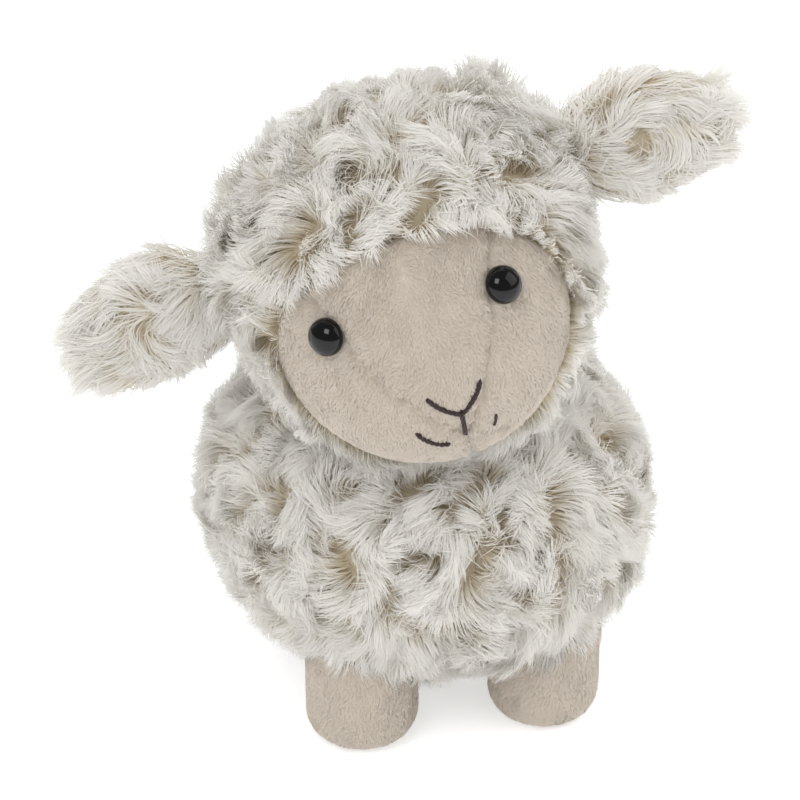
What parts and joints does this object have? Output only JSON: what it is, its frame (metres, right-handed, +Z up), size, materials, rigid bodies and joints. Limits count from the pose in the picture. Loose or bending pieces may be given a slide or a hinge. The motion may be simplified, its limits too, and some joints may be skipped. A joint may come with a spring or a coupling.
{
  "type": "plush sheep toy",
  "caption": "Standing plush sheep with swirled long-pile fur, short-nap face and legs, domed eyes, embroidered nose and mouth, and a soft neck, ears, tail and legs that give at their seams.",
  "frame": {"origin": "on the floor, under the middle of the whole toy's box", "axes": "+Z up, -Y the way the body faces, +X to the sheep's own left"},
  "size_m": [0.1782, 0.1714, 0.1927],
  "materials": {
    "fur": "long swirled pile, off-white tips over taupe roots",
    "nap_cloth": "short beige nap",
    "fibre_fill": "loose white fibre",
    "eye_plastic": "polished black",
    "washer_plastic": "plain moulded white",
    "thread": "dark brown embroidery thread"
  },
  "bodies": {
    "body": {"body_side_left": "fur", "body_side_right": "fur", "belly_panel": "fur", "body_stuffing": "fibre_fill"},
    "neck": {"neck_pad": "fibre_fill"},
    "head": {"hood_left": "fur", "hood_right": "fur", "forehead_panel": "nap_cloth", "cheek_left": "nap_cloth", "cheek_right": "nap_cloth", "head_stuffing": "fibre_fill", "eye_left": "eye_plastic", "eye_right": "eye_plastic", "eye_washer_left": "washer_plastic", "eye_washer_right": "washer_plastic", "nose_stitch_left": "thread", "nose_stitch_right": "thread", "philtrum_stitch": "thread", "mouth_stitch_left": "thread", "mouth_stitch_right": "thread"},
    "ear_left": {"ear_left_front": "fur", "ear_left_back": "fur"},
    "ear_right": {"ear_right_front": "fur", "ear_right_back": "fur"},
    "tail": {"tail_upper": "fur", "tail_lower": "fur"},
    "leg_front_left": {"leg_front_left_sleeve": "nap_cloth", "leg_front_left_sole": "nap_cloth", "leg_front_left_stuffing": "fibre_fill"},
    "leg_front_right": {"leg_front_right_sleeve": "nap_cloth", "leg_front_right_sole": "nap_cloth", "leg_front_right_stuffing": "fibre_fill"},
    "leg_rear_left": {"leg_rear_left_sleeve": "nap_cloth", "leg_rear_left_sole": "nap_cloth", "leg_rear_left_stuffing": "fibre_fill"},
    "leg_rear_right": {"leg_rear_right_sleeve": "nap_cloth", "leg_rear_right_sole": "nap_cloth", "leg_rear_right_stuffing": "fibre_fill"}
  },
  "joints": [
    {"name": "head_turn", "type": "hinge", "parent": "body", "child": "neck", "pos_m": [0.0022, -0.02739, 0.1388], "axis": [0, 0, 1], "range_deg": [-12, 18], "stiffness_Nm_per_rad": 0.3},
    {"name": "head_tilt", "type": "hinge", "parent": "neck", "child": "head", "pos_m": [0.0022, -0.02739, 0.1388], "axis": [0.153, 0.9882, 0], "range_deg": [-6, 24], "stiffness_Nm_per_rad": 0.3},
    {"name": "ear_left_flap", "type": "hinge", "parent": "head", "child": "ear_left", "pos_m": [0.04723, -0.03032, 0.16828], "axis": [-0.1212, 0.2636, 0.957], "range_deg": [-40, 40], "stiffness_Nm_per_rad": 0.03},
    {"name": "ear_right_flap", "type": "hinge", "parent": "head", "child": "ear_right", "pos_m": [-0.04929, -0.01538, 0.12788], "axis": [-0.3606, 0.3006, 0.8829], "range_deg": [-40, 40], "stiffness_Nm_per_rad": 0.03},
    {"name": "tail_lift", "type": "hinge", "parent": "body", "child": "tail", "pos_m": [0.012, 0.059, 0.076], "axis": [1, 0, 0], "range_deg": [-3, 40], "stiffness_Nm_per_rad": 0.01},
    {"name": "leg_front_left_swing", "type": "hinge", "parent": "body", "child": "leg_front_left", "pos_m": [0.0386, -0.04239, 0.024], "axis": [1, 0, 0], "range_deg": [-10, 10], "stiffness_Nm_per_rad": 0.3},
    {"name": "leg_front_right_swing", "type": "hinge", "parent": "body", "child": "leg_front_right", "pos_m": [-0.0146, -0.04239, 0.024], "axis": [1, 0, 0], "range_deg": [-10, 10], "stiffness_Nm_per_rad": 0.3},
    {"name": "leg_rear_left_swing", "type": "hinge", "parent": "body", "child": "leg_rear_left", "pos_m": [0.0386, 0.02761, 0.024], "axis": [1, 0, 0], "range_deg": [-10, 10], "stiffness_Nm_per_rad": 0.3},
    {"name": "leg_rear_right_swing", "type": "hinge", "parent": "body", "child": "leg_rear_right", "pos_m": [-0.0146, 0.02761, 0.024], "axis": [1, 0, 0], "range_deg": [-10, 10], "stiffness_Nm_per_rad": 0.3}
  ]
}
